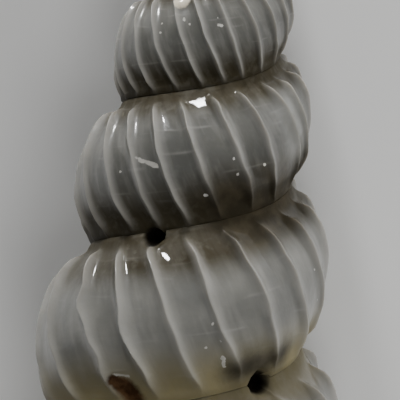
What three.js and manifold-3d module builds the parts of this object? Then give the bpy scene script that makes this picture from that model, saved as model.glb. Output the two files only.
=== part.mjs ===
// Wentletrap shell, a slender spiral sea shell that grew as one piece, lying on its back with its
// mouth up. Millimetres. The whorls are one tube, oval in section, that winds right-handed round a
// straight axis and widens as it goes, with thin slanting ribs across it. The shell is worked out
// upright, round the Z axis with its tip up, and the last lines lay it down.
//
// A place along the tube is a turn, in whole windings: turn 0 is on the whorl in the middle of the
// spire, lower turns are nearer the tip and higher ones nearer the mouth. A place round the tube is
// a swing, in radians: 0 is furthest from the axis, a quarter turn up is the shoulder, and a
// quarter turn down is the base.

import * as THREE from "three";
import { mergeVertices } from "three/addons/utils/BufferGeometryUtils.js";
import Module from "manifold-3d";

// Growth of the tube
const MIDDLE_RADIUS = 2.886; // from the axis to the widest point of the tube at turn 0
const GROWTH = 0.217; // share by which that radius grows in one turn, at turn 0
const SLOWING = 0.038; // how much less the share is, one turn later
const PITCH = 1.255; // drop along the axis in one turn, as a share of the radius
const TIP_TURN = -8;
const FIRST_RIBBED_TURN = -5; // above it the ribs are too fine to matter
const MOUTH_TURN = 2;

// The tube's oval section, as shares of the radius
const HALF_WIDTH = 0.448;
const HEIGHT_ABOVE = 0.705; // from the tube's centre line to its shoulder
const HEIGHT_BELOW = 0.62;
const CORE = 0.69; // the pillar in the middle of the turns, where they hide it
const CORE_FOOT = 0.16; // and at its foot, beside the mouth
const CORE_FOOT_DROP = 0.1; // how far below the last centre line the pillar ends

// Ribs
const RIB_TURN = 0.2055; // a turn that has a rib on it
const RIBS_MIDDLE = 19.2; // ribs in one turn, halfway along the ribbed part
const RIBS_CHANGE = 4.8; // how many more there are near the tip, and fewer near the mouth
const RIBS_CENTRE_TURN = -0.63;
const RIBS_SPREAD = 3;
// Ribs that stand off their even place: which rib, counted from the one at RIB_TURN, and how far off
// it is, as a share of the way to the next rib
const UNEVEN = [
  [-39, 0.1],
  [-37, -0.1],
  [-21, -0.2],
  [-18, 0.12],
  [-17, 0.1],
  [-15, -0.12],
  [0, 0.1],
  [1, 0.1],
  [3, -0.13],
];
const RIB_HEIGHT = 0.04; // as a share of the radius
const SHOULDER_HEIGHT = 0.03; // how much more a rib stands out at the shoulder
const SHOULDER_DROP = 0.025; // and how much flatter the tube is there
const FADE_LOW = [0.8, 1.2]; // swings below the middle between which a rib dies out
const FADE_HIGH = [0.75, 1.1]; // the same above the middle, from FADE_HIGH_FROM on
const FADE_HIGH_FROM = 0.8;
const RIB_HALF_WIDTH = 0.13; // as a share of the way to the next rib
const SLANT = 0.068; // how far a rib leans towards the mouth at the shoulder, in turns
const SLANT_BEND = 0.013;

// The mouth
const LIP_HEIGHT = 0.065; // the last rib is a thick rim
const LIP_HALF_WIDTH = 0.3;
const WALL = 0.055; // wall of the tube, as a share of the radius
const HOLLOW_HEIGHT_ABOVE = 0.6; // the hollow's own height, under the whorl above
const HOLLOW_TURNS = 1; // how far in the hollow is modelled
const HOLLOW_OVERRUN = 0.02; // and how far it is cut past the rim
const HOLLOW_END_SIZE = 0.35; // its inner end is this share of its full size
const HOLLOW_END_TURNS = 0.15; // and it grows by a full size over this way

// Two open gaps in the seam between the whorls, each at a turn and a swing of the tube below it
const GAP_RADIUS = 0.17;
const GAPS = [
  { turn: 0.257, swing: 1.31 },
  { turn: 1.07, swing: 1.42 },
];

// The way it lies: turned about its own axis and tipped over until it rests, in degrees
const REST_SPIN = 5.31;
const REST_TIP = 99.36;
const REST_SHIFT = [-0.232, 0.259, 2.958]; // puts the middle of its box over the origin

// Steps of the mesh
const SWINGS_COARSE = 8;
const SWINGS_MEDIUM = 11;
const SWINGS_FINE = 15;
const SWINGS_HOLLOW = 14;
const FINE_FROM = -2; // turns from which the mesh is fine, and medium
const MEDIUM_FROM = -3;
const PIECE_TURNS = 0.45; // the tube is joined from pieces shorter than half a turn
const SMOOTH_STEP = 1 / 10;
const HOLLOW_STEP = 1 / 20;
const CORE_SIDES = 10;
const DROP_STEPS_PER_TURN = 24;

const { smoothstep } = THREE.MathUtils;
const wasm = await Module();
wasm.setup();

function radiusAt(turn) {
  return MIDDLE_RADIUS * Math.exp(GROWTH * turn - (SLOWING * turn * turn) / 2);
}

// How far the tube's centre line has gone down the axis since turn 0.
function dropAt(turn) {
  const steps = Math.max(1, Math.ceil(Math.abs(turn) * DROP_STEPS_PER_TURN));
  const step = turn / steps;
  let sum = 0;
  for (let i = 0; i < steps; i++) sum += radiusAt((i + 0.5) * step);
  return PITCH * sum * step;
}

function ribsPerTurn(turn) {
  return (
    RIBS_MIDDLE -
    RIBS_CHANGE * Math.tanh((turn - RIBS_CENTRE_TURN) / RIBS_SPREAD)
  );
}

function leanAt(swing) {
  return SLANT * Math.sin(swing) - SLANT_BEND * Math.sin(2 * swing);
}

// A point of an oval tube round the growth line, lifted out from the oval by a share of the radius.
function tubePoint(turn, swing, oval, lift) {
  const leaning = turn + leanAt(swing);
  const radius = radiusAt(leaning);
  const height = swing > 0 ? oval.above : oval.below;
  const across = Math.cos(swing);
  const up = Math.sin(swing);
  const normal = new THREE.Vector2(
    across / oval.halfWidth,
    up / height,
  ).normalize();
  const out =
    radius * (1 - HALF_WIDTH + oval.halfWidth * across + lift * normal.x);
  const z = -dropAt(leaning) + radius * (height * up + lift * normal.y);
  const angle = -2 * Math.PI * leaning;
  return new THREE.Vector3(out * Math.cos(angle), out * Math.sin(angle), z);
}

function centrePoint(turn) {
  const out = radiusAt(turn) * (1 - HALF_WIDTH);
  const angle = -2 * Math.PI * turn;
  return new THREE.Vector3(
    out * Math.cos(angle),
    out * Math.sin(angle),
    -dropAt(turn),
  );
}

// The turns of all the ribs, from the tip to the mouth. The last one is the rim.
function ribTurns() {
  const turns = [RIB_TURN];
  while (turns[0] > FIRST_RIBBED_TURN) {
    const next = turns[0];
    turns.unshift(next - 1 / ribsPerTurn(next - 0.5 / ribsPerTurn(next)));
  }
  while (turns[turns.length - 1] < MOUTH_TURN) {
    const last = turns[turns.length - 1];
    turns.push(last + 1 / ribsPerTurn(last + 0.5 / ribsPerTurn(last)));
  }
  const zero = turns.indexOf(RIB_TURN);
  UNEVEN.forEach(([place, shift]) => {
    turns[zero + place] += shift / ribsPerTurn(turns[zero + place]);
  });
  return turns;
}

// 1 in the middle of the shoulder and 0 away from it.
function shoulderAt(swing) {
  return swing > 0 && swing < Math.PI / 2 ? Math.sin(2 * swing) ** 2 : 0;
}

// 1 along most of a rib and 0 where it dies out at the seams.
function ribFade(turn, swing) {
  const low = turn < MOUTH_TURN - 1 ? smoothstep(-swing, ...FADE_LOW) : 0;
  const high = turn > FADE_HIGH_FROM ? smoothstep(swing, ...FADE_HIGH) : 0;
  return (1 - low) * (1 - high);
}

// How far a point of a row is lifted out of the oval, as a share of the radius.
function liftAt(row, swing) {
  const shoulder = shoulderAt(swing);
  const height = (RIB_HEIGHT + SHOULDER_HEIGHT * shoulder) * row.rib;
  return height * ribFade(row.turn, swing) + row.lip - SHOULDER_DROP * shoulder;
}

// Rows of the tube, in order: the turn of each, the share of a rib's height that it has, and how
// far the lip lifts it out.
function tubeRows(ribs) {
  const rows = [];
  for (let turn = TIP_TURN; turn < ribs[0] - SMOOTH_STEP; turn += SMOOTH_STEP) {
    rows.push({ turn, rib: 0, lip: 0 });
  }
  ribs.slice(0, -1).forEach((rib, i) => {
    const gap = ribs[i + 1] - rib;
    const foot = RIB_HALF_WIDTH * gap;
    if (rib < MEDIUM_FROM) {
      rows.push({ turn: rib, rib: 1, lip: 0 });
      rows.push({ turn: rib + gap / 2, rib: 0, lip: 0 });
    } else {
      rows.push({ turn: rib - foot, rib: 0, lip: 0 });
      rows.push({ turn: rib, rib: 1, lip: 0 });
      rows.push({ turn: rib + foot, rib: 0, lip: 0 });
    }
  });
  const rim = ribs[ribs.length - 1];
  const rimFoot = LIP_HALF_WIDTH * (rim - ribs[ribs.length - 2]);
  rows.push({ turn: rim - rimFoot, rib: 0, lip: 0 });
  rows.push({ turn: rim - rimFoot / 2, rib: 1, lip: LIP_HEIGHT / 2 });
  rows.push({ turn: rim, rib: 1, lip: LIP_HEIGHT });
  return rows;
}

// A closed body through rings of points, with a point at the middle of each end.
function closedTube(rings, firstMiddle, lastMiddle) {
  const count = rings[0].length;
  const points = [...rings.flat(), firstMiddle, lastMiddle];
  const first = rings.length * count;
  const last = first + 1;
  const faces = [];
  for (let j = 0; j < count; j++) {
    const k = (j + 1) % count;
    for (let i = 0; i + 1 < rings.length; i++) {
      const a = i * count;
      const b = a + count;
      faces.push(a + j, b + j, a + k, b + j, b + k, a + k);
    }
    faces.push(first, j, k);
    faces.push(
      last,
      (rings.length - 1) * count + k,
      (rings.length - 1) * count + j,
    );
  }
  return solidFrom(
    points.flatMap((p) => p.toArray()),
    faces,
  );
}

function solidFrom(numbers, faces) {
  return new wasm.Manifold(
    new wasm.Mesh({
      numProp: 3,
      vertProperties: new Float32Array(numbers),
      triVerts: new Uint32Array(faces),
    }),
  );
}

function solidOfGeometry(geometry) {
  geometry.deleteAttribute("normal");
  geometry.deleteAttribute("uv");
  const merged = mergeVertices(geometry);
  return solidFrom(merged.attributes.position.array, merged.index.array);
}

// A ring of points round the tube. Its lift is worked out from the swing of each.
function ring(turn, oval, count, lift) {
  return Array.from({ length: count }, (_, j) => {
    const swing = Math.PI - (2 * Math.PI * (j + 0.5)) / count;
    return tubePoint(turn, swing, oval, lift(swing));
  });
}

function swingsAt(turn) {
  if (turn > FINE_FROM) return SWINGS_FINE;
  return turn > MEDIUM_FROM ? SWINGS_MEDIUM : SWINGS_COARSE;
}

// The outside of the tube, as pieces that share their ends.
function tubePieces(rows) {
  const oval = {
    halfWidth: HALF_WIDTH,
    above: HEIGHT_ABOVE,
    below: HEIGHT_BELOW,
  };
  const pieces = [];
  let start = 0;
  while (start < rows.length - 1) {
    const count = swingsAt(rows[start].turn);
    let end = start + 1;
    while (
      end < rows.length - 1 &&
      rows[end].turn - rows[start].turn < PIECE_TURNS &&
      swingsAt(rows[end].turn) === count
    )
      end++;
    const rings = rows
      .slice(start, end + 1)
      .map((row) => ring(row.turn, oval, count, (swing) => liftAt(row, swing)));
    pieces.push(
      closedTube(
        rings,
        centrePoint(rows[start].turn),
        centrePoint(rows[end].turn),
      ),
    );
    start = end;
  }
  return pieces;
}

// The hollow behind the mouth, in pieces, with a rounded inner end.
function hollowPieces(rim) {
  const start = rim - HOLLOW_TURNS;
  const steps = Math.round(HOLLOW_TURNS / HOLLOW_STEP);
  const turns = Array.from(
    { length: steps + 1 },
    (_, i) => start + i * HOLLOW_STEP,
  );
  turns.push(rim + HOLLOW_OVERRUN);
  const sizeAt = (turn) =>
    Math.min(1, HOLLOW_END_SIZE + (turn - start) / HOLLOW_END_TURNS);
  const ringAt = (turn) => {
    const size = sizeAt(turn);
    const oval = {
      halfWidth: (HALF_WIDTH - WALL) * size,
      above: HOLLOW_HEIGHT_ABOVE * size,
      below: (HEIGHT_BELOW - WALL) * size,
    };
    return ring(turn, oval, SWINGS_HOLLOW, () => 0);
  };
  const half = Math.floor(turns.length / 2);
  return [turns.slice(0, half + 1), turns.slice(half)].map((part) =>
    closedTube(
      part.map(ringAt),
      centrePoint(part[0]),
      centrePoint(part[part.length - 1]),
    ),
  );
}

// The pillar that the turns wind round.
function columella(rim) {
  const profile = [new THREE.Vector2(0, -dropAt(TIP_TURN))];
  for (let turn = TIP_TURN + 0.5; turn <= rim - 0.5; turn += 0.5) {
    profile.push(new THREE.Vector2(CORE * radiusAt(turn), -dropAt(turn)));
  }
  const foot = -dropAt(rim) - CORE_FOOT_DROP * radiusAt(rim);
  profile.push(new THREE.Vector2(CORE_FOOT * radiusAt(rim), foot));
  profile.push(new THREE.Vector2(0, foot));
  const lathe = new THREE.LatheGeometry(profile.reverse(), CORE_SIDES);
  return solidOfGeometry(lathe.rotateX(Math.PI / 2));
}

function seamGaps() {
  const oval = {
    halfWidth: HALF_WIDTH,
    above: HEIGHT_ABOVE,
    below: HEIGHT_BELOW,
  };
  return GAPS.map(({ turn, swing }) => {
    const ball = new THREE.IcosahedronGeometry(GAP_RADIUS, 1);
    const at = tubePoint(turn, swing, oval, -SHOULDER_DROP * shoulderAt(swing));
    return solidOfGeometry(ball).translate([at.x, at.y, at.z]);
  });
}

function shellGeometry() {
  const ribs = ribTurns();
  const rim = ribs[ribs.length - 1];
  const solids = [...tubePieces(tubeRows(ribs)), columella(rim)];
  const whole = solids.reduce((sum, piece) => sum.add(piece));
  const cuts = [...hollowPieces(rim), ...seamGaps()];
  const mesh = cuts.reduce((sum, cut) => sum.subtract(cut), whole).getMesh();
  const geometry = new THREE.BufferGeometry();
  geometry.setAttribute(
    "position",
    new THREE.BufferAttribute(mesh.vertProperties, 3),
  );
  geometry.setIndex(new THREE.BufferAttribute(mesh.triVerts, 1));
  geometry.computeVertexNormals();
  return geometry;
}

const shell = new THREE.Mesh(
  shellGeometry(),
  new THREE.MeshStandardMaterial({
    color: 0xb9b8b0,
    roughness: 0.28,
    metalness: 0,
  }),
);
shell.name = "shell";

const spun = new THREE.Group();
spun.rotation.z = THREE.MathUtils.degToRad(REST_SPIN);
spun.add(shell);

const lying = new THREE.Group();
lying.rotation.x = THREE.MathUtils.degToRad(-REST_TIP);
lying.position.set(...REST_SHIFT);
lying.add(spun);

export default lying;
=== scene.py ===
# A wentletrap shell lying on a pale floor, seen from above as a close view of its middle whorls.
#
# The whorls are one tube, oval in section, that winds right-handed round a straight axis and
# widens as it goes. A place along the tube is a turn, in whole windings, and a place round it is a
# swing, in radians: 0 is furthest from the axis, a quarter turn up is the shoulder, and a quarter
# turn down is the base. Both follow the solid model, in the same millimetres.
#
# Ribs, seams and marks are worked out on the upright shell, with the tip up. Only the finished
# points are laid down on the floor.

import bpy
import numpy as np
from mathutils import Matrix, Vector


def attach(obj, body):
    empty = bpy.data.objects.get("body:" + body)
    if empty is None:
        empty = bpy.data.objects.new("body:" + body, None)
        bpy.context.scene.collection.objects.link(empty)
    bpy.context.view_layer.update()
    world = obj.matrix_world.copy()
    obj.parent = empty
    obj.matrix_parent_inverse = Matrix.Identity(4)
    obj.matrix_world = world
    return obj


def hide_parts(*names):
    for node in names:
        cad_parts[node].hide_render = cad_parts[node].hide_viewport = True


MM = 0.001

# Growth of the tube, in mm
MIDDLE_RADIUS = 2.886  # from the axis to the widest point of the tube at turn 0
GROWTH = 0.217  # share by which that radius grows in one turn, at turn 0
SLOWING = 0.038  # how much less the share is, one turn later
PITCH = 1.255  # drop along the axis in one turn, as a share of the radius
TIP_TURN = -8.0
FIRST_RIBBED_TURN = -6.2  # the tip above it is the smooth shell that it hatched with
RIBS_START = 0.3  # turns after it in which the ribs reach their full height
MOUTH_TURN = 2.0
DROP_STEPS = 4000  # steps in which the drop along the axis is added up

# The tube's oval section, as shares of the radius
HALF_WIDTH = 0.448
HEIGHT_ABOVE = 0.705
HEIGHT_BELOW = 0.62
WALL = 0.055  # thickness of the shell at the mouth
HOLLOW_HEIGHT_ABOVE = 0.6  # of the hollow behind the mouth

# The hollow behind the mouth, in turns
HOLLOW_TURNS = 1.0
HOLLOW_CLOSING = 0.15  # stretch in which it closes at its far end
HOLLOW_END = 0.05  # the square of the share of its size that its last ring keeps

# The pillar round the axis, as shares of the radius
CORE = 0.69
CORE_FOOT = 0.16  # radius of its foot, at the mouth
CORE_FOOT_DROP = 0.1  # how far the foot is below the mouth's centre
CORE_INSET = 0.5  # turns between each end of the tube and the pillar's full width

# Ribs
RIB_TURN = 0.2055  # turn of the rib that the others are counted from
RIBS_MIDDLE = 19.2  # ribs in one turn, halfway along the ribbed part
RIBS_CHANGE = 4.8  # how many more there are near the tip, and fewer near the mouth
RIBS_CENTRE_TURN = -0.63
RIBS_SPREAD = 3.0  # turns from there in which most of the change takes place
SLANT = 0.068  # turns that a rib is further on at the shoulder than at its middle
SLANT_BEND = 0.013  # how much it bends on the way there, in turns
RIB_HEIGHT = 0.044  # as a share of the radius
SHOULDER_HEIGHT = 0.03  # how much more a rib stands out at the shoulder
SHOULDER_DROP = 0.025  # and how much flatter the tube is there
FIN_SHARE = 0.38  # share of the height that is the thin fin, the rest being the flutes beside it
FIN_HALF_WIDTH = 0.085  # as a share of the way to the next rib
OLD_FLUTE = 0.36  # width of the flute on the older side, as a share of the way to the next rib
NEW_FLUTE = 0.22  # the same on the younger side, where the next stretch of shell starts
FLUTE_HOLLOW = 1.6  # power of the flutes' slope: 1 is straight, and more is more hollow
OLD_PALE = 0.14  # width of the pale band on the older side of a rib
NEW_PALE = 0.08  # and on the younger side
FADE_LOW = (0.55, 0.9)  # swings below the middle between which a rib dies out
FADE_LOW_TURNS = 1.0  # turns before the mouth in which it runs on, as nothing covers the base
FADE_TOP = (0.85, 1.2)  # the same swings above the middle
FADE_HIGH = (0.75, 1.1)  # and from FADE_HIGH_FROM on
FADE_HIGH_FROM = 0.8
FIN_WOBBLE = 0.07  # how far a rib wanders, as a share of the way to the next one
FIN_UNEVEN = 0.3  # how much its height varies
WAVE_RATES = (1.3, 2.9, 5.3, 9.7, 17.1)  # of the waves that both add up from, for each radian
WAVE_SIZE = 0.6  # of a wave with rate 1, the faster ones being smaller
LIP_HEIGHT = 0.065  # of the lip above the tube, as a share of the radius

# Ribs that stand off their even place, as shares of the way to the next rib, counted from the rib
# at RIB_TURN
UNEVEN = {-39: 0.1, -37: -0.1, -21: -0.2, -18: 0.12, -17: 0.1, -15: -0.12, 0: 0.1, 1: 0.1, 3: -0.13}

# Places where a rib has a kink, counted as above: rib, swing, how far it goes to the younger side
# as a share of the way to the next rib, and reach in swing
KINKS = [(3, 0.35, 0.22, 0.16), (3, -0.2, -0.12, 0.2), (2, 0.1, 0.1, 0.3), (0, 0.0, 0.08, 0.3)]

# The seams between the whorls are filled in like a weld
SEAM_FILL = 0.24  # reach of the weld, as a share of the radius
SEAM_ROUNDS = 40  # times that its height is worked out again, each time closer

# Open gaps in the seam between the whorls, and a grain of sand stuck in it: turn and swing of the
# middle, radius in mm, and how far in mm the surface goes in there, or out where it is negative
DENTS = [(0.257, 1.31, 0.22, 0.4), (1.075, 1.4, 0.27, 0.6), (-1.725, 0.93, 0.16, -0.1)]
DENT_REACH = 0.8  # mm in and out from its middle that a dent takes hold of
DENT_COLOUR_OUT = 0.2  # mm out from its middle that it still has its own colour

# Marks on the surface: kind, turn and swing of both ends, and half their width in mm
MARKS = [
    # A dark brown painted shadow of the whorl above, on the next whorl's shoulder
    ("stain_and_shadow", 0.12, 1.12, 0.02, 1.12, 0.6),
    # A dark brown patch on a whorl's base, partly stain and partly painted shade
    ("stain_and_shadow", -0.77, -0.55, -0.93, -0.5, 0.6),
    ("shade", 0.21, -0.64, 0.14, -0.62, 0.36),
    # A lighter band on the whorl's right side: painted light from the right
    ("painted_light_band", -0.94, 0.45, -0.935, 0.1, 0.42),
    # Holes in the seam, painted near black: painted shade inside them
    ("hole", 0.215, 1.29, 0.215, 1.29, 0.04),
    ("hole", -0.77, 1.3, -0.77, 1.3, 0.035),
    ("hole", 1.148, 1.38, 1.148, 1.38, 0.04),
    ("scratch", -0.659, 0.25, -0.693, 0.11, 0.05),
    ("rust", 0.36, -0.53, 0.352, -0.62, 0.15),
    ("rust", 0.352, -0.64, 0.347, -1.0, 0.23),
    ("scratch", 0.356, -0.45, 0.338, -0.49, 0.03),
    ("sand", -0.848, -0.1, -0.848, -0.1, 0.035),
    # White specks of dust, with painted glints among them: those round turn -1.7 and round turn
    # 0.22 stand in for glints of the lamps
    ("dust", -0.803, 0.09, -0.803, 0.09, 0.03),
    ("dust", -0.801, -0.16, -0.801, -0.16, 0.035),
    ("dust", 0.22, 0.03, 0.22, 0.03, 0.035),
    ("dust", 0.218, -0.19, 0.218, -0.19, 0.03),
    ("dust", 0.238, -0.25, 0.238, -0.25, 0.03),
    ("dust", 0.222, -0.4, 0.225, -0.56, 0.04),
    ("dust", 0.207, -0.18, 0.21, -0.2, 0.03),
    ("dust", -0.757, -0.42, -0.744, -0.39, 0.025),
    ("dust", -1.727, 0.38, -1.727, 0.38, 0.025),
    ("dust", -1.785, 0.29, -1.78, 0.33, 0.03),
    ("dust", -0.632, 0.07, -0.632, 0.07, 0.03),
    ("dust", -1.67, 0.46, -1.67, 0.46, 0.022),
    ("dust", -1.665, 0.28, -1.665, 0.28, 0.025),
    ("dust", -1.719, 0.5, -1.717, 0.47, 0.028),
    ("dust", -1.783, 0.45, -1.783, 0.45, 0.022),
    ("dust", -1.657, -0.14, -1.657, -0.14, 0.02),
    ("dust", 0.047, 0.26, 0.047, 0.26, 0.02),
    ("dust", 0.05, -0.12, 0.05, -0.12, 0.025),
]

# How the shell lies, as in the solid model: degrees and mm
REST_SPIN = 5.31
REST_TIP = 99.36
REST_SHIFT = (-0.232, 0.259, 2.958)

# The camera, as seen from the upright shell
CAMERA_RISE = 7.7  # degrees above square on to the axis, towards the tip
CAMERA_ROLL = 4.3  # degrees that the tip leans to the right
CAMERA_AWAY = 220.0  # mm from the axis
CAMERA_SENSOR = 36.0  # mm, the width of its sensor
CAMERA_SEES = (0.001, 10.0)  # metres to the nearest and the furthest thing that it shows
VIEW_WIDTH = 8.8  # mm across the picture
VIEW_RISE = 1.52  # mm above turn 0's centre line that the middle of the picture is
VIEW_SIDE = 0.064  # mm to the right of the axis that the middle of the picture is

# Steps of the mesh, along the tube in turns and round it in columns
SEEN_SWING = 1.75  # beyond it the tube is inside the shell
SEAM_SWING = 1.0  # beyond it the columns are closer together, for the seams
MIDDLE_COLUMNS = 24
SEAM_COLUMNS = 14
HIDDEN_COLUMNS = 6
SMOOTH_STEP = 1 / 40  # on the smooth tip
FINE_ROWS = np.array([0, 0.02, 0.042, 0.075, 0.15, 0.28])  # shares of the way to the next rib
COARSE_ROWS = np.array([0, 0.06, 0.2])  # the same up to FINE_FROM
FINE_FROM = -2.5
LIP_TURNS = 0.03  # stretch in which the tube rises to the lip
LIP_ROUND = 0.008  # how far the rounded edge of the lip stands ahead
LIP_STEPS = 9
HOLLOW_STEP = 1 / 40
CORE_STEP = 0.25
CORE_SIDES = 40

SEED = 7  # of the ribs' unevenness

# Colours
GLASSY = (0.16, 0.16, 0.148)
MILKY = (0.222, 0.22, 0.2)
SMOKY = (0.05, 0.05, 0.045)
RIB_WHITE = (0.42, 0.41, 0.38)
SEAM_BROWN = (0.05, 0.042, 0.024)
SEAM_CREAM = (0.13, 0.11, 0.056)
BASE_CREAM = (0.32, 0.275, 0.145)
# Two colours of each kind of mark, mottled together
MARK_COLOURS = {
    # Dark brown of the stains, also used for painted shadow and shade
    "stain_and_shadow": ((0.037, 0.031, 0.019), (0.058, 0.048, 0.029)),
    "shade": ((0.06, 0.053, 0.036), (0.085, 0.075, 0.052)),
    # Pale colour of the painted light on the whorl's right side
    "painted_light_band": ((0.28, 0.28, 0.26), (0.34, 0.34, 0.32)),
    # Near black: painted shade inside the holes
    "hole": ((0.004, 0.003, 0.002), (0.009, 0.007, 0.005)),
    "scratch": ((0.55, 0.53, 0.48), (0.38, 0.37, 0.34)),
    "rust": ((0.045, 0.021, 0.009), (0.15, 0.08, 0.037)),
    "sand": ((0.60, 0.54, 0.42), (0.80, 0.76, 0.66)),
    # White of the dust and of the painted glints
    "dust": ((0.45, 0.44, 0.40), (0.7, 0.69, 0.65)),
}
MARK_MOTTLE = (0.4, 0.65)  # noise between which one of the two goes over into the other
# How soft the edge of a mark is, from 0 for a sharp one to 1
MARK_SOFTNESS = {"stain_and_shadow": 0.85, "shade": 0.9, "painted_light_band": 0.9, "rust": 0.35}
PLAIN_SOFTNESS = 0.2
MARK_WANDER = 0.09  # mm that the edge of a mark wanders to and fro

# Grain of the noise in the glass, in specks for each metre, and how fine its detail is
CLOUDS = (900, 3)
MOTTLE = (2600, 4)
FLECKS = (5200, 2)
EDGES = (9000, 2)

# The glass: two greys clouded together, smokier in the older whorls, with less smoke on their tops
# as a painted sheen
CLOUD_EDGES = (0.3, 0.7)  # noise between which one grey goes over into the other
SMOKE = 0.6  # share of the smoky colour in the older whorls
SMOKE_TURNS = (0.0, -0.6)  # turns between which it comes in, going back
PAINTED_SHEEN_ON_TOPS = 0.25  # how much less of it there is on their tops, a painted sheen
PAINTED_SHEEN_SWINGS = (0.1, 0.6)
FLECK_EDGES = (0.5, 0.7)
FLECK_SHARE = 0.12

# The dirt along the seams, with painted shade: darker towards each base and on each shoulder below
# the whorl above
BASE_SWINGS = (-0.1, 0.65)  # swings below the middle between which it comes in
SEAM_SWINGS = (0.6, 1.02)  # and above the middle
CREAM_TURNS = (-0.5, -0.1)  # turns between which it goes over from brown to cream
CREAM_LOWER = 0.15  # how much lower down on the base the cream comes in, in swing
CREAM_THINNER = 0.12
PAINTED_SHADOW_REACH = 0.21  # how much further down, in swing, a painted shadow of the whorl above reaches, beside the first gap in the seam
PAINTED_SHADOW_STARTS = (0.08, 0.2)  # turns between which it gets that wide
PAINTED_SHADOW_ENDS = (0.7, 0.5)  # and between which it narrows again, from the last one back
DIRT_AND_SHADE_SHARE = 0.8  # of the colour of the dirt and painted shade where the mottling is least
DIRT_AND_SHADE_MOTTLED = 0.4  # and how much the mottling adds
DIRT_AND_SHADE_HIDES = 0.75  # share of the fine lines that it hides

# Fine lines on the glass
GROWTH_GRAIN = (60, 1.5)  # of the lines beside the ribs, for each turn and for each radian
GROWTH_EDGES = (0.45, 0.65)
GROWTH_SHARE = 0.14  # of white in them
SPIRAL_RATE = 19  # how many lines across the ribs there are in half a circle of swing
SPIRAL_SHARPNESS = 12  # power that thins them
SPIRAL_GRAIN = (14, 6)  # of the patches that they show in, for each turn and for each radian
SPIRAL_EDGES = (0.55, 0.72)
SPIRAL_SHARE = 0.22
PALE_SHARE = 0.5  # of white in the pale band of a rib
FIN_WHITE_SHARE = 0.1  # and on its edge

# Gloss and light in the glass
DEPTH_SHARE = 0.6  # of the light that goes into the glass
DEPTH_COLOURS = (1.0, 0.9, 0.75)  # how far red, green and blue go, as shares of DEPTH
DEPTH = 0.2  # mm
SHINE = 0.4
SHINE_IN_DIRT_AND_SHADE = 0.1
ROUGHNESS = 0.28
ROUGHER_IN_DIRT_AND_SHADE = 0.25
COAT = 0.8  # the thin gloss on the glass, which the seams and the bases lack
COAT_ROUGHNESS = 0.05
COAT_LOW = (0.2, 0.6)  # swings below the middle between which it ends
COAT_HIGH = (1.0, 1.2)  # and above the middle

# Relief of the mottling, the growth lines and the lines across: strength, and depth in mm
MOTTLE_RELIEF = (0.5, 0.03)
GROWTH_RELIEF = (0.6, 0.012)
SPIRAL_RELIEF = (0.3, 0.01)

# Lights: name, place and size in mm, power in watts, and whether it shows in the gloss
LIGHTS = [
    ("key", (-27, 109, 20), (10, 26), 0.115, True),
    ("soft", (5, 105, 40), (40, 40), 0.03, False),
    ("right", (100, 70, 22), (40, 40), 0.058, False),
    ("mouth side", (30, -120, 40), (60, 60), 0.095, False),
    ("front", (45, 0, 135), (80, 80), 0.055, False),
]
LIGHT_TARGET = (0, 0, 3)  # mm, in the middle of the shell
STUDIO_COLOUR = (1.0, 0.98, 0.94)
STUDIO_STRENGTH = 0.04
FLOOR_COLOUR = (0.85, 0.85, 0.84)
FLOOR_ROUGHNESS = 0.8
FLOOR_REACH = 3.0  # metres from its middle to each side


def radius_at(turn):
    return MIDDLE_RADIUS * np.exp(GROWTH * turn - SLOWING * turn * turn / 2)


TURN_GRID = np.linspace(TIP_TURN - 0.5, MOUTH_TURN + 0.5, DROP_STEPS + 1)
STEP = TURN_GRID[1] - TURN_GRID[0]
DROP_GRID = np.concatenate([[0], np.cumsum(PITCH * radius_at(TURN_GRID[:-1] + STEP / 2) * STEP)])


def drop_at(turn):
    return np.interp(turn, TURN_GRID, DROP_GRID) - np.interp(0, TURN_GRID, DROP_GRID)


def ribs_per_turn(turn):
    return RIBS_MIDDLE - RIBS_CHANGE * np.tanh((turn - RIBS_CENTRE_TURN) / RIBS_SPREAD)


def rib_turns():
    """Turns of all the ribs at swing 0, from the tip to the lip."""
    turns = [RIB_TURN]
    while turns[0] > FIRST_RIBBED_TURN:
        after = turns[0]
        turns.insert(0, after - 1 / ribs_per_turn(after - 0.5 / ribs_per_turn(after)))
    while turns[-1] < MOUTH_TURN:
        before = turns[-1]
        turns.append(before + 1 / ribs_per_turn(before + 0.5 / ribs_per_turn(before)))
    turns = np.array(turns)
    zero = np.argmin(np.abs(turns - RIB_TURN))
    for place, shift in UNEVEN.items():
        turns[zero + place] += shift / ribs_per_turn(turns[zero + place])
    return turns


def lean_at(swing):
    return SLANT * np.sin(swing) - SLANT_BEND * np.sin(2 * swing)


def lay_down():
    spin = Matrix.Rotation(np.radians(REST_SPIN), 4, "Z")
    tip = Matrix.Rotation(np.radians(-REST_TIP), 4, "X")
    return Matrix.Translation(Vector(REST_SHIFT)) @ tip @ spin


def laid(points):
    """Points of the upright shell, in mm, as they lie on the floor, in metres."""
    matrix = np.array(lay_down())
    return (points @ matrix[:3, :3].T + matrix[:3, 3]) * MM


def section_points(turn, swing, oval, lift):
    """Distance from the axis and height of points of an oval tube round the growth line.

    They are lifted out by a share of the radius.
    """
    half_width, above, below = oval
    leaning = turn + lean_at(swing)
    radius = radius_at(leaning)
    height = np.where(swing > 0, above, below)
    across, up = np.cos(swing), np.sin(swing)
    normal = np.stack([across / half_width, up / height])
    normal = normal / np.linalg.norm(normal, axis=0)
    out = radius * (1 - HALF_WIDTH + half_width * across + lift * normal[0])
    z = -drop_at(leaning) + radius * (height * up + lift * normal[1])
    return out, z


def tube_points(turn, swing, oval, lift):
    out, z = section_points(turn, swing, oval, lift)
    angle = -2 * np.pi * (turn + lean_at(swing))
    return np.stack([out * np.cos(angle), out * np.sin(angle), z], axis=-1)


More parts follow.
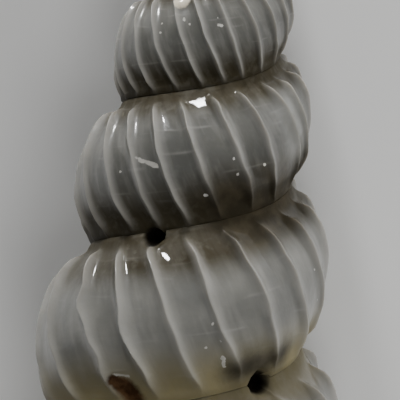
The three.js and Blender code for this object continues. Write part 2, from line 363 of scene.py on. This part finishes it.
def seam_lift(turn, swing, oval, lift, rim):
    """How far the weld of the seam lifts the surface, as a share of the radius.

    Each point is lifted by how near it is to the whorl next to it, seen as a bare oval. The lift
    brings it nearer again, so it is worked out in rounds until it stays as it is.
    """
    leaning = turn + lean_at(swing)
    other = leaning + np.where(swing > 0, -1, 1)
    size = radius_at(other)
    reach = SEAM_FILL * np.sqrt(size * radius_at(leaning))
    fill = 0 * lift
    for _ in range(SEAM_ROUNDS):
        out, z = section_points(turn, swing, oval, lift + fill / radius_at(leaning))
        across = (out / size - 1 + HALF_WIDTH) / HALF_WIDTH
        height = np.where(z + drop_at(other) > 0, HEIGHT_ABOVE, HEIGHT_BELOW)
        up = (z + drop_at(other)) / size / height
        share = np.hypot(across, up)
        steepness = np.hypot(across / HALF_WIDTH, up / height) / share
        clear = (share - 1) / steepness * size
        fill = reach / 4 * np.clip(1 - np.abs(clear - fill) / reach, 0, 1) ** 2
    return np.where(other < rim, fill / radius_at(leaning), 0)


def shoulder(swing):
    return np.where((swing > 0) & (swing < np.pi / 2), np.sin(2 * swing) ** 2, 0)


def place_on(turn, swing):
    """A point of the bare tube, in mm, on the upright shell."""
    oval = (HALF_WIDTH, HEIGHT_ABOVE, HEIGHT_BELOW)
    return tube_points(np.array(turn), np.array(swing), oval, -SHOULDER_DROP * shoulder(swing))


def away_from_axis(point):
    return point * [1, 1, 0] / np.hypot(*point[:2])


def dented(points):
    """The points moved straight towards the axis, or away from it, round each dent."""
    for turn, swing, radius, depth in DENTS:
        middle = place_on(turn, swing)
        out = away_from_axis(middle)
        offset = points - middle
        along = offset @ out
        aside = np.linalg.norm(offset - along[..., None] * out, axis=-1)
        share = np.clip(1 - (aside / radius) ** 4, 0, 1) * (np.abs(along) < DENT_REACH)
        points = points - depth * share[..., None] * out
    return points


def waves(rng, count, swing, rib):
    """A smooth random wave round the tube, different for each rib, from about -1 to 1."""
    total = 0
    for rate in WAVE_RATES:
        phase = rng.uniform(0, 2 * np.pi, count)
        total = total + np.sin(rate * swing + phase[rib]) * WAVE_SIZE / rate**0.5
    return total


def step_up(value, low, high):
    """0 below low, 1 above high, and smooth between them."""
    share = np.clip((value - low) / (high - low), 0, 1)
    return share * share * (3 - 2 * share)


def rib_fade(turn, swing):
    """1 along most of a rib and 0 where it dies out at the seams."""
    low = step_up(-swing, *FADE_LOW) * (turn < MOUTH_TURN - FADE_LOW_TURNS)
    high = np.where(turn > FADE_HIGH_FROM, step_up(swing, *FADE_HIGH), step_up(swing, *FADE_TOP))
    return (1 - low) * (1 - high)


def rib_lift(turn, swing, ribs):
    """How far the surface stands out, its fin and its paleness, and how far a rib wanders."""
    rng = np.random.default_rng(SEED)
    gap = 1 / ribs_per_turn(turn)
    rib = np.argmin(np.abs(turn[..., None] - ribs), axis=-1)
    away = (turn - ribs[rib]) / gap
    flute_width = np.where(away < 0, OLD_FLUTE, NEW_FLUTE)
    flute = np.clip(1 - np.abs(away) / flute_width, 0, 1) ** FLUTE_HOLLOW
    fin = np.exp(-((away / FIN_HALF_WIDTH) ** 2))
    pale = np.exp(-((away / np.where(away < 0, OLD_PALE, NEW_PALE)) ** 2))
    there = np.clip((turn - FIRST_RIBBED_TURN) / RIBS_START, 0, 1) * rib_fade(turn, swing)
    height = RIB_HEIGHT * (1 + FIN_UNEVEN * waves(rng, len(ribs), swing, rib))
    height = height + SHOULDER_HEIGHT * shoulder(swing)
    lift = height * there * ((1 - FIN_SHARE) * flute + FIN_SHARE * fin)
    lift = lift - SHOULDER_DROP * shoulder(swing)
    wander = FIN_WOBBLE * waves(rng, len(ribs), swing, rib)
    zero = np.argmin(np.abs(ribs - RIB_TURN))
    for place, middle, shift, reach in KINKS:
        wander = wander + shift * (rib == zero + place) * np.exp(-(((swing - middle) / reach) ** 2))
    wander = wander * gap * flute
    return lift, fin * there, pale * there, wander


def add_mesh(name, points, faces):
    mesh = bpy.data.meshes.new(name)
    mesh.from_pydata(points.tolist(), [], faces)
    mesh.update()
    mesh.shade_smooth()
    piece = bpy.data.objects.new(name, mesh)
    bpy.context.collection.objects.link(piece)
    return piece


def tube_faces(rows, columns):
    """Four-sided faces between rows of points, and one face over each end."""
    a = np.arange(rows - 1)[:, None] * columns + np.arange(columns)[None, :]
    b = np.arange(rows - 1)[:, None] * columns + (np.arange(columns)[None, :] + 1) % columns
    quads = np.stack([a, a + columns, b + columns, b], axis=-1).reshape(-1, 4)
    first = list(range(columns))
    last = [(rows - 1) * columns + i for i in reversed(range(columns))]
    return quads.tolist() + [first, last]


def swings():
    """Swings of the columns of the mesh, closest together at the seams."""
    middle = np.linspace(-SEAM_SWING, SEAM_SWING, MIDDLE_COLUMNS)
    seam = np.linspace(SEAM_SWING, SEEN_SWING, SEAM_COLUMNS + 1)[1:]
    outside = np.concatenate([-seam[::-1], middle, seam])
    inside = np.linspace(SEEN_SWING, 2 * np.pi - SEEN_SWING, HIDDEN_COLUMNS + 2)[1:-1]
    return np.concatenate([outside, inside])[::-1]


def outer_turns(ribs):
    """Rows of the mesh along the outside of the tube, closest together at the ribs."""
    smooth = np.arange(TIP_TURN, ribs[0] - SMOOTH_STEP / 2, SMOOTH_STEP)
    rows = [smooth]
    for rib, after in zip(ribs[:-1], ribs[1:]):
        half = FINE_ROWS if rib > FINE_FROM else COARSE_ROWS
        offsets = np.concatenate([half, [0.5], 1 - half[:0:-1]])
        rows.append(rib + offsets * (after - rib))
    return np.concatenate(rows)


def shell_rows(ribs):
    """Turn, section and extra lift of each row: along the outside, over the lip and back inside."""
    outer = np.array([HALF_WIDTH, HEIGHT_ABOVE, HEIGHT_BELOW])
    inner = np.array([HALF_WIDTH - WALL, HOLLOW_HEIGHT_ABOVE, HEIGHT_BELOW - WALL])
    rim = ribs[-1]
    rows = []
    for turn in outer_turns(ribs):
        near_lip = np.clip(1 - (rim - turn) / LIP_TURNS, 0, 1)
        rows.append((turn, outer, LIP_HEIGHT * near_lip**2))
    for share in np.linspace(0, 1, LIP_STEPS):
        turn = rim + LIP_ROUND * np.sin(np.pi * share)
        rows.append((turn, outer + (inner - outer) * share, LIP_HEIGHT * (1 - share)))
    end = rim - HOLLOW_TURNS
    for turn in np.arange(rim, end, -HOLLOW_STEP)[1:]:
        closing = np.clip((turn - end) / HOLLOW_CLOSING, HOLLOW_END, 1)
        rows.append((turn, inner * np.sqrt(closing), 0.0))
    return rows


def mark_places(piece, marked):
    """Numbers kept at every point of the mesh, for the material to use."""
    for name, values in marked.items():
        attribute = piece.data.attributes.new(name, "FLOAT", "POINT")
        attribute.data.foreach_set("value", values.reshape(-1).astype(np.float32))


def pillar():
    """The pillar inside, round the axis, which the whorls close on to."""
    rim = rib_turns()[-1]
    turn = np.append(np.arange(TIP_TURN + CORE_INSET, rim - CORE_INSET, CORE_STEP), rim)
    radius = CORE * radius_at(turn)
    radius[-1] = CORE_FOOT * radius_at(rim)
    height = -drop_at(turn)
    height[-1] -= CORE_FOOT_DROP * radius_at(rim)
    angle = np.linspace(0, 2 * np.pi, CORE_SIDES, endpoint=False)[None, :]
    ring = np.stack([np.cos(angle), -np.sin(angle), 0 * angle], axis=-1)
    points = radius[:, None, None] * ring + height[:, None, None] * np.array([0, 0, 1])
    piece = add_mesh("pillar", laid(points.reshape(-1, 3)), tube_faces(len(turn), CORE_SIDES))
    places = 0 * angle + turn[:, None]
    none = 0 * places
    mark_places(piece, {"fin": none, "pale": none, "swing": none - 1, "turn": places})
    return piece


def whorls():
    """The tube with its ribs, its filled seams and its dents, from the tip round to the mouth."""
    ribs = rib_turns()
    rows = shell_rows(ribs)
    around = swings()
    turn = np.array([row[0] for row in rows])[:, None] + 0 * around[None, :]
    swing = np.repeat(around[None, :], len(rows), axis=0)
    oval = np.array([row[1] for row in rows]).T[:, :, None]
    extra = np.array([row[2] for row in rows])[:, None]
    swing_about = np.where(swing > np.pi, swing - 2 * np.pi, swing)
    lift, fin, pale, wander = rib_lift(turn, swing_about, ribs)
    outside = np.arange(len(rows))[:, None] < len(outer_turns(ribs))
    lift = np.where(outside, lift, 0) + extra
    turn = turn + wander * outside
    lift = lift + seam_lift(turn, swing_about, oval, lift, ribs[-1]) * outside
    points = dented(tube_points(turn, swing_about, oval, lift))
    piece = add_mesh("whorls", laid(points.reshape(-1, 3)), tube_faces(len(rows), len(around)))
    marked = {"fin": fin * outside, "pale": pale * outside, "swing": swing_about, "turn": turn}
    mark_places(piece, marked)
    return piece


class Nodes:
    """Short ways to add and join the nodes of one material."""

    def __init__(self, name):
        self.material = bpy.data.materials.new(name)
        self.material.use_nodes = True
        self.tree = self.material.node_tree
        self.shader = self.tree.nodes["Principled BSDF"]

    def put(self, socket, value):
        if isinstance(value, bpy.types.NodeSocket):
            self.tree.links.new(value, socket)
        else:
            socket.default_value = value

    def attribute(self, name):
        node = self.tree.nodes.new("ShaderNodeAttribute")
        node.attribute_name = name
        return node.outputs["Fac"]

    def place(self):
        return self.tree.nodes.new("ShaderNodeTexCoord").outputs["Object"]

    def math(self, operation, *values):
        node = self.tree.nodes.new("ShaderNodeMath")
        node.operation = operation
        for socket, value in zip(node.inputs, values):
            self.put(socket, value)
        return node.outputs[0]

    def plus(self, a, b):
        return self.math("ADD", a, b)

    def minus(self, a, b):
        return self.math("SUBTRACT", a, b)

    def times(self, a, b):
        return self.math("MULTIPLY", a, b)

    def larger(self, a, b):
        return self.math("MAXIMUM", a, b)

    def smaller(self, a, b):
        return self.math("MINIMUM", a, b)

    def noise(self, vector, scale, detail, output="Fac"):
        node = self.tree.nodes.new("ShaderNodeTexNoise")
        self.put(node.inputs["Vector"], vector)
        node.inputs["Scale"].default_value = scale
        node.inputs["Detail"].default_value = detail
        return node.outputs[output]

    def ramp(self, value, low, high):
        """0 below low, 1 above high, and smooth between them, or the other way if low is higher."""
        node = self.tree.nodes.new("ShaderNodeMapRange")
        node.interpolation_type = "SMOOTHSTEP"
        self.put(node.inputs["Value"], value)
        node.inputs["From Min"].default_value = low
        node.inputs["From Max"].default_value = high
        return node.outputs[0]

    def mix(self, share, a, b):
        """Colour a, with a share of colour b."""
        node = self.tree.nodes.new("ShaderNodeMix")
        node.data_type = "RGBA"
        self.put(node.inputs["Factor"], share)
        colours = [socket for socket in node.inputs if socket.type == "RGBA"]
        for socket, value in zip(colours, (a, b)):
            self.put(socket, value if isinstance(value, bpy.types.NodeSocket) else (*value, 1))
        return [socket for socket in node.outputs if socket.type == "RGBA"][0]

    def vector(self, operation, *values, scale=1.0):
        node = self.tree.nodes.new("ShaderNodeVectorMath")
        node.operation = operation
        for socket, value in zip(node.inputs, values):
            self.put(socket, value)
        if operation == "SCALE":
            self.put(node.inputs["Scale"], scale)
        return node.outputs["Value" if operation in ("DOT_PRODUCT", "LENGTH") else "Vector"]

    def streak(self, place, start, end, half_width, softness):
        """1 on a straight streak between two points and 0 away from it, with a soft edge."""
        offset = self.vector("SUBTRACT", place, tuple(start))
        run = Vector(end) - Vector(start)
        if run.length > 0:
            share = self.vector("DOT_PRODUCT", offset, tuple(run / run.length_squared))
            share = self.smaller(self.larger(share, 0.0), 1.0)
            offset = self.vector("SUBTRACT", offset, self.vector("SCALE", tuple(run), scale=share))
        distance = self.vector("LENGTH", offset)
        inner, outer = (1 - softness) * half_width, (1 + softness) * half_width
        return self.minus(1.0, self.ramp(distance, inner, outer))

    def combine(self, x, y, z):
        node = self.tree.nodes.new("ShaderNodeCombineXYZ")
        for socket, value in zip(node.inputs, (x, y, z)):
            self.put(socket, value)
        return node.outputs[0]

    def grain(self, turn, swing, fineness, detail):
        """Noise that follows the tube, as fine as asked for each turn and for each radian."""
        place = self.combine(self.times(turn, fineness[0]), self.times(swing, fineness[1]), 0.0)
        return self.noise(place, 1.0, detail)

    def bump(self, height, relief, under=None):
        """The surface's direction with a relief of some strength and depth laid over it."""
        strength, depth = relief
        node = self.tree.nodes.new("ShaderNodeBump")
        node.inputs["Strength"].default_value = strength
        node.inputs["Distance"].default_value = depth * MM
        self.put(node.inputs["Height"], height)
        if under is not None:
            self.put(node.inputs["Normal"], under)
        return node.outputs[0]


def mark_streaks():
    """Kind, both ends and half width of every mark, with the dents, on the upright shell."""
    streaks = []
    for turn, swing, radius, depth in DENTS:
        middle = place_on(turn, swing)
        out = away_from_axis(middle)
        start, end = middle - DENT_REACH * out, middle + DENT_COLOUR_OUT * out
        # The gaps get the near-black colour of a hole, which is painted shade inside them
        streaks.append(("hole" if depth > 0 else "sand", start, end, radius))
    for kind, turn, swing, end_turn, end_swing, half_width in MARKS:
        streaks.append((kind, place_on(turn, swing), place_on(end_turn, end_swing), half_width))
    return streaks


def glass(nodes, place, turn, swing):
    """The colour of the clean glass between the ribs, lighter on the tops of the older whorls as a
    painted sheen.
    """
    cloud = nodes.noise(place, *CLOUDS)
    colour = nodes.mix(nodes.ramp(cloud, *CLOUD_EDGES), GLASSY, MILKY)
    # Less smoke on the tops: a painted sheen
    painted_sheen = nodes.times(nodes.ramp(swing, *PAINTED_SHEEN_SWINGS), PAINTED_SHEEN_ON_TOPS)
    smoke = nodes.times(nodes.ramp(turn, *SMOKE_TURNS), nodes.minus(SMOKE, painted_sheen))
    return nodes.mix(smoke, colour, SMOKY)


def seam_dirt_and_shade(nodes, turn, swing, mottle):
    """How far a place is in the dirt and painted shade along the seams, the share of its colour,
    and that colour.

    The top of a whorl goes by the turn of the whorl above it, which it touches.
    """
    top = nodes.math("GREATER_THAN", swing, 0.0)
    cream = nodes.ramp(nodes.minus(turn, top), *CREAM_TURNS)
    base_swing = nodes.plus(nodes.times(cream, CREAM_LOWER), swing)
    # Darker towards the base: brown dirt together with painted shade
    base = nodes.ramp(nodes.times(base_swing, -1), *BASE_SWINGS)
    # A painted shadow of the whorl above, reaching further down the next whorl's shoulder
    painted_shadow = nodes.times(nodes.ramp(turn, *PAINTED_SHADOW_STARTS), nodes.ramp(turn, *PAINTED_SHADOW_ENDS))
    # Darker on the shoulder below the whorl above: brown dirt together with painted shade
    seam = nodes.ramp(nodes.plus(swing, nodes.times(painted_shadow, PAINTED_SHADOW_REACH)), *SEAM_SWINGS)
    dirt_and_shade = nodes.larger(base, seam)
    share = nodes.minus(1.0, nodes.times(cream, CREAM_THINNER))
    share = nodes.times(share, nodes.plus(DIRT_AND_SHADE_SHARE, nodes.times(mottle, DIRT_AND_SHADE_MOTTLED)))
    share = nodes.smaller(nodes.times(dirt_and_shade, share), 1.0)
    colour = nodes.mix(cream, SEAM_BROWN, nodes.mix(top, BASE_CREAM, SEAM_CREAM))
    return dirt_and_shade, share, colour


def spiral_lines(nodes, turn, swing):
    """Fine lines that run round the shell, across the ribs, and show in patches."""
    wave = nodes.math("SINE", nodes.times(swing, SPIRAL_RATE))
    line = nodes.math("POWER", nodes.math("ABSOLUTE", wave), SPIRAL_SHARPNESS)
    patches = nodes.grain(turn, swing, SPIRAL_GRAIN, 2)
    return nodes.times(line, nodes.ramp(patches, *SPIRAL_EDGES))


def whitened(nodes, colour, dirt_and_shade, growth, spiral):
    """The colour with the white of the fine lines and of the ribs laid over it."""
    clean = nodes.minus(1.0, nodes.times(dirt_and_shade, DIRT_AND_SHADE_HIDES))
    growth_share = nodes.times(nodes.ramp(growth, *GROWTH_EDGES), GROWTH_SHARE)
    colour = nodes.mix(nodes.times(growth_share, clean), colour, RIB_WHITE)
    colour = nodes.mix(nodes.times(nodes.times(spiral, SPIRAL_SHARE), clean), colour, RIB_WHITE)
    colour = nodes.mix(nodes.times(nodes.attribute("pale"), PALE_SHARE), colour, RIB_WHITE)
    return nodes.mix(nodes.times(nodes.attribute("fin"), FIN_WHITE_SHARE), colour, RIB_WHITE)


def with_marks(nodes, colour, place, mottle):
    """The colour with every mark laid over it, and where the holes are."""
    offset = nodes.noise(place, *EDGES, output="Color")
    offset = nodes.vector("SUBTRACT", offset, (0.5, 0.5, 0.5))
    ragged = nodes.vector("ADD", place, nodes.vector("SCALE", offset, scale=MARK_WANDER * MM))
    hole = 0.0
    for kind, start, end, half_width in mark_streaks():
        softness = MARK_SOFTNESS.get(kind, PLAIN_SOFTNESS)
        spot = place if kind == "hole" else ragged
        streak = nodes.streak(spot, laid(start), laid(end), half_width * MM, softness)
        tint = nodes.mix(nodes.ramp(mottle, *MARK_MOTTLE), *MARK_COLOURS[kind])
        colour = nodes.mix(streak, colour, tint)
        if kind == "hole":
            hole = nodes.larger(hole, streak)
    return colour, hole


def gloss(nodes, swing, dirt_and_shade, hole):
    """Frosted glass under a thin coat of gloss, both duller in the seam dirt and painted shade, and
    in the holes.
    """
    shine = nodes.minus(SHINE, nodes.times(dirt_and_shade, SHINE - SHINE_IN_DIRT_AND_SHADE))
    rough = nodes.plus(nodes.times(dirt_and_shade, ROUGHER_IN_DIRT_AND_SHADE), ROUGHNESS)
    coat = nodes.minus(1.0, nodes.ramp(nodes.times(swing, -1), *COAT_LOW))
    coat = nodes.times(coat, nodes.minus(1.0, nodes.ramp(swing, *COAT_HIGH)))
    coat = nodes.times(coat, nodes.minus(1.0, hole))
    nodes.put(nodes.shader.inputs["Specular IOR Level"], shine)
    nodes.put(nodes.shader.inputs["Roughness"], nodes.larger(rough, hole))
    nodes.put(nodes.shader.inputs["Coat Weight"], nodes.times(coat, COAT))
    nodes.shader.inputs["Coat Roughness"].default_value = COAT_ROUGHNESS


def shell_material():
    nodes = Nodes("shell")
    place = nodes.place()
    turn = nodes.attribute("turn")
    swing = nodes.attribute("swing")
    mottle = nodes.noise(place, *MOTTLE)
    growth = nodes.grain(turn, swing, GROWTH_GRAIN, 3)
    spiral = spiral_lines(nodes, turn, swing)
    dirt_and_shade, dirt_and_shade_share, dirt_and_shade_colour = seam_dirt_and_shade(nodes, turn, swing, mottle)
    colour = nodes.mix(dirt_and_shade_share, glass(nodes, place, turn, swing), dirt_and_shade_colour)
    fleck = nodes.ramp(nodes.noise(place, *FLECKS), *FLECK_EDGES)
    colour = nodes.mix(nodes.times(fleck, FLECK_SHARE), colour, MILKY)
    colour = whitened(nodes, colour, dirt_and_shade, growth, spiral)
    colour, hole = with_marks(nodes, colour, place, mottle)
    nodes.put(nodes.shader.inputs["Base Color"], colour)
    nodes.shader.inputs["Subsurface Weight"].default_value = DEPTH_SHARE
    nodes.shader.inputs["Subsurface Radius"].default_value = DEPTH_COLOURS
    nodes.shader.inputs["Subsurface Scale"].default_value = DEPTH * MM
    gloss(nodes, swing, dirt_and_shade, hole)
    relief = nodes.bump(mottle, MOTTLE_RELIEF)
    relief = nodes.bump(growth, GROWTH_RELIEF, relief)
    relief = nodes.bump(spiral, SPIRAL_RELIEF, relief)
    nodes.put(nodes.shader.inputs["Normal"], relief)
    return nodes.material


def camera():
    """The photo's view: the upright shell's front, a little from the tip's side."""
    matrix = lay_down()
    rise = np.radians(CAMERA_RISE)
    back = matrix.to_3x3() @ Vector((0, -np.cos(rise), np.sin(rise)))
    target = matrix @ Vector((VIEW_SIDE, 0, VIEW_RISE))
    data = bpy.data.cameras.new("camera")
    data.sensor_width = CAMERA_SENSOR
    data.lens = CAMERA_SENSOR * CAMERA_AWAY / VIEW_WIDTH
    data.clip_start, data.clip_end = CAMERA_SEES
    eye = bpy.data.objects.new("camera", data)
    tip = matrix.to_3x3() @ Vector((0, 0, 1))
    up = (tip - back * tip.dot(back)).normalized()
    right = up.cross(back)
    pose = Matrix((right, up, back)).transposed().to_4x4()
    pose = pose @ Matrix.Rotation(np.radians(CAMERA_ROLL), 4, "Z")
    pose.translation = (target + back * CAMERA_AWAY) * MM
    eye.matrix_world = pose
    bpy.context.collection.objects.link(eye)
    bpy.context.scene.camera = eye


def area_light(name, place, size, power, glossy):
    """A glowing oval of a width and a height in mm, turned towards the shell."""
    data = bpy.data.lights.new(name, "AREA")
    data.shape = "ELLIPSE"
    data.size, data.size_y = size[0] * MM, size[1] * MM
    data.energy = power
    lamp = bpy.data.objects.new(name, data)
    lamp.location = Vector(place) * MM
    towards = Vector(LIGHT_TARGET) * MM - lamp.location
    lamp.rotation_euler = towards.to_track_quat("-Z", "Y").to_euler()
    lamp.visible_glossy = glossy
    bpy.context.collection.objects.link(lamp)


def floor():
    size = FLOOR_REACH
    corners = [(-size, -size, 0), (size, -size, 0), (size, size, 0), (-size, size, 0)]
    piece = add_mesh("floor", np.array(corners), [[0, 1, 2, 3]])
    material = bpy.data.materials.new("floor")
    material.use_nodes = True
    shader = material.node_tree.nodes["Principled BSDF"]
    shader.inputs["Base Color"].default_value = (*FLOOR_COLOUR, 1)
    shader.inputs["Roughness"].default_value = FLOOR_ROUGHNESS
    piece.data.materials.append(material)


def lights():
    for light in LIGHTS:
        area_light(*light)
    world = bpy.data.worlds.new("studio")
    world.use_nodes = True
    background = world.node_tree.nodes["Background"]
    background.inputs["Color"].default_value = (*STUDIO_COLOUR, 1)
    background.inputs["Strength"].default_value = STUDIO_STRENGTH
    bpy.context.scene.world = world


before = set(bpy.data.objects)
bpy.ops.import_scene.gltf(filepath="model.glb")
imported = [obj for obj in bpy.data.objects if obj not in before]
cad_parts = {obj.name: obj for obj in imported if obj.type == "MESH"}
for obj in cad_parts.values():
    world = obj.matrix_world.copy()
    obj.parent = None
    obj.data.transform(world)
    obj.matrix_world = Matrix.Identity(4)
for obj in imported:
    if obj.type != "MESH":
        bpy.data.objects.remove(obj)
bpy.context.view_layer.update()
camera()
material = shell_material()
for piece in (whorls(), pillar()):
    piece.data.materials.append(material)
    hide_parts("shell")
    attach(piece, "root")
floor()
lights()
